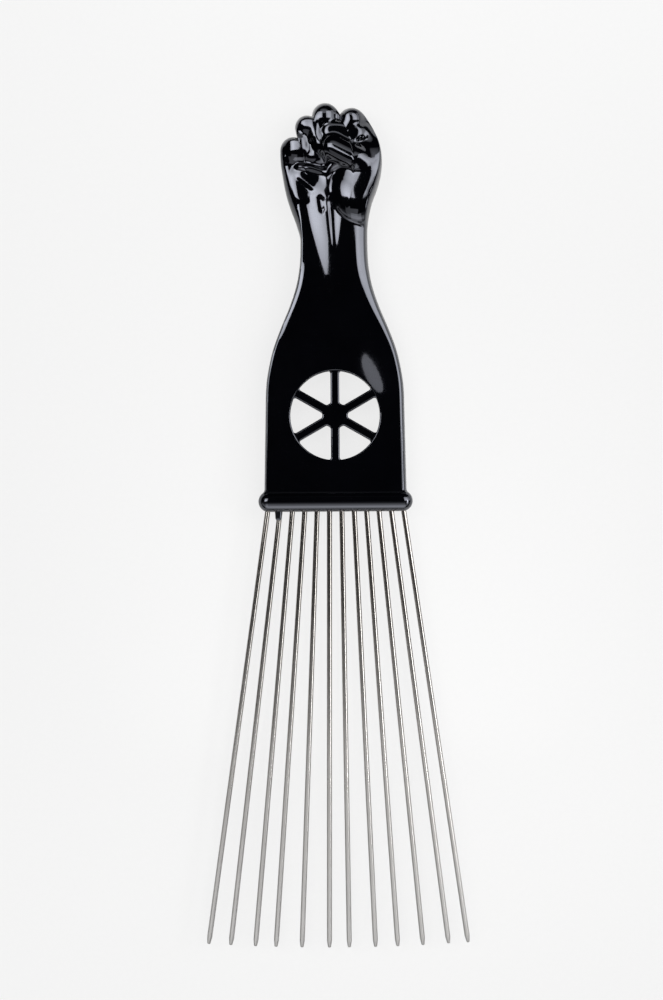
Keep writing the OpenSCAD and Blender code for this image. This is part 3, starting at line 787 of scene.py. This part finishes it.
def wireProfile():
    w = wireValues
    r, start, tip = w["width"] / 2, -w["held"], w["length"]
    neck = start + w["anchorLength"]
    share, rise = w["anchorEnd"]
    held = [(0, start), (r * share, start), (r, start + rise)]
    held += [(r, neck - back) for back in w["neckRings"]]
    free = [(r, 0), (r, tip - w["taper"])]
    free += [(r * share, tip - w["taper"] * left) for share, left in w["tipShape"]]
    free += [(r * share, tip - left) for share, left in w["bluntEnd"]]
    return held + free + [(0, tip)]


def buildWire(i, material):
    w = wireValues
    bm = bmesh.new()
    lathe(bm, wireProfile(), w["sides"], (0, 0, 0))
    neck = w["anchorLength"] - w["held"]
    for vert in bm.verts:  # the end inside the handle is pressed flat
        flat = ease((neck - vert.co.z) / w["anchorTaper"])
        vert.co.x *= mix(1, w["anchorWidth"] / w["width"], flat)
        vert.co.y *= mix(1, w["anchorThickness"] / w["width"], flat)
    bmesh.ops.recalc_face_normals(bm, faces=bm.faces[:])
    bmesh.ops.transform(bm, matrix=alongWire(i), verts=bm.verts[:])
    shadeSmooth(bm)
    wire = addPiece("wire_%02d" % (i + 1), bm, material)
    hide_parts("tine_%02d" % (i + 1))


def buildFloor():
    bm = bmesh.new()
    bmesh.ops.create_grid(bm, x_segments=1, y_segments=1, size=floorValues["halfWidth"])
    bmesh.ops.translate(bm, verts=bm.verts[:], vec=(0, 0, -floorValues["drop"]))
    mesh = bpy.data.meshes.new("floor")
    bm.to_mesh(mesh)
    bm.free()
    floor = bpy.data.objects.new("floor", mesh)
    collection.objects.link(floor)
    mesh.materials.append(floorCard())


# Soft panels round the pick. Angles are from straight above, sizes in metres, and brightness is
# what the pick sees straight ahead: side, distance, start and end angle, start and end along the
# other axis, brightness, the angle from straight ahead at which it has faded to nothing, and shape
panelValues = {
    "leftBox": ("-X", 0.7, 9, 42, 0.03, 0.38, 4.8, 34, "RECTANGLE"),
    "rightBox": ("+X", 0.7, 15, 60, 0.04, 0.42, 3.4, 48, "RECTANGLE"),
    "rightLow": ("+X", 0.7, 15, 60, 0.005, 0.04, 1.6, 48, "RECTANGLE"),
    "rightSide": ("+X", 0.7, 60, 86, 0.04, 0.5, 1.4, 48, "RECTANGLE"),
    "wireLine": ("+X", 0.244, 48, 62, -0.14, 0.03, 6.0, 30, "ELLIPSE"),
    "frontCard": ("-Y", 0.7, 50, 88, -0.45, 0.45, 0.25, 85, "RECTANGLE"),
    "padCard": ("-Y", 0.7, 22, 56, -0.5, -0.08, 0.45, 60, "RECTANGLE"),
}
# Small cards over the pick: middle as x, y and height, width, length, turn, brightness, the angle
# at which they have faded to nothing, shape, and lean, which is 0 where they face straight down
cardValues = {
    "paddleCard": (0.0113, 0.0377, 0.0377, 0.0038, 0.0112, 28, 0.75, 35, "ELLIPSE", 0),
    "thumbCard": (0.03, 0.19, 0.16, 0.2, 0.09, 0, 1.2, 46, "RECTANGLE", 0),
    "barCard": (0, -0.054, 0.066, 0.12, 0.117, 0, 0.8, 52, "RECTANGLE", 60),
    "rootCard": (-0.075, -0.024, 0.1, 0.45, 0.042, 0, 0.06, 89, "RECTANGLE", 0),
    "middleCard": (-0.075, -0.065, 0.1, 0.45, 0.04, 0, 0.17, 89, "RECTANGLE", 0),
    "tipCard": (0, -0.15, 0.1, 1.1, 0.13, 0, 0.5, 89, "RECTANGLE", 0),
}


def hangLamp(name, place, width, length, brightness, fade, shape):
    fade = math.radians(fade)
    lamp = bpy.data.lights.new(name, "AREA")
    lamp.shape = shape
    lamp.size, lamp.size_y = width, length
    lamp.spread = 2 * fade
    lamp.energy = 4 * width * length * brightness * (1 - fade / math.tan(fade))
    holder = bpy.data.objects.new(name, lamp)
    collection.objects.link(holder)
    holder.matrix_world = place
    holder.visible_camera = False


def panelPlace(side, away, start, end, low, high):  # where a panel hangs, and its width
    sign = 1 if side[0] == "+" else -1
    out, other = Vector((sign, 0, 0)), Vector((0, 1, 0))
    if side[1] == "Y":
        out, other = Vector((0, sign, 0)), Vector((1, 0, 0))
    first, last = (away * (out * math.sin(math.radians(a)) + Vector((0, 0, math.cos(math.radians(a)))))
                   for a in (start, end))
    middle, chord = (first + last) / 2, last - first
    facing = chord.cross(other).normalized()
    if facing.dot(middle) < 0:
        facing = -facing
    across = chord.normalized()
    turn = Matrix((across, facing.cross(across), facing)).transposed().to_4x4()
    return Matrix.Translation(middle + other * (low + high) / 2) @ turn, chord.length


def addLamps():
    for name, (side, away, start, end, low, high, *light) in panelValues.items():
        place, width = panelPlace(side, away, start, end, low, high)
        hangLamp(name, place, width, high - low, *light)
    for name, (x, y, z, width, length, turn, *light, lean) in cardValues.items():
        turned = Euler((math.radians(lean), 0, math.radians(turn))).to_matrix().to_4x4()
        hangLamp(name, Matrix.Translation((x, y, z)) @ turned, width, length, *light)


def addWorld():
    dim, white = (0.006, 0.006, 0.0065), (1, 1, 1)
    world = bpy.data.worlds.new("studio")
    bpy.context.scene.world = world
    world.use_nodes = True
    tree = world.node_tree
    camera = addNode(tree, "LightPath").outputs["Is Camera Ray"]
    tree.links.new(blendColours(tree, camera, dim, white), tree.nodes["Background"].inputs["Color"])


# Places of the camera are in metres, and its height is from the parting plane
cameraValues = {"lens": 100, "place": (-0.00118, 0.00035), "height": 0.803, "turn": -0.0065}


def addCamera():
    c = cameraValues
    camera = bpy.data.cameras.new("camera")
    camera.lens = c["lens"]
    holder = bpy.data.objects.new("camera", camera)
    collection.objects.link(holder)
    holder.location = (*c["place"], c["height"] + v["barThickness"] / 2 * mm)
    holder.rotation_euler = (0, 0, c["turn"])
    bpy.context.scene.camera = holder


buildHandle(glossPlastic())
print("handle made")
steel = drawnSteel()
for i in range(wireValues["count"]):
    buildWire(i, steel)
print("wires made")
buildFloor()
addLamps()
addWorld()
addCamera()
bpy.context.scene.view_settings.view_transform = "Standard"
print("floor, lamps and camera placed")
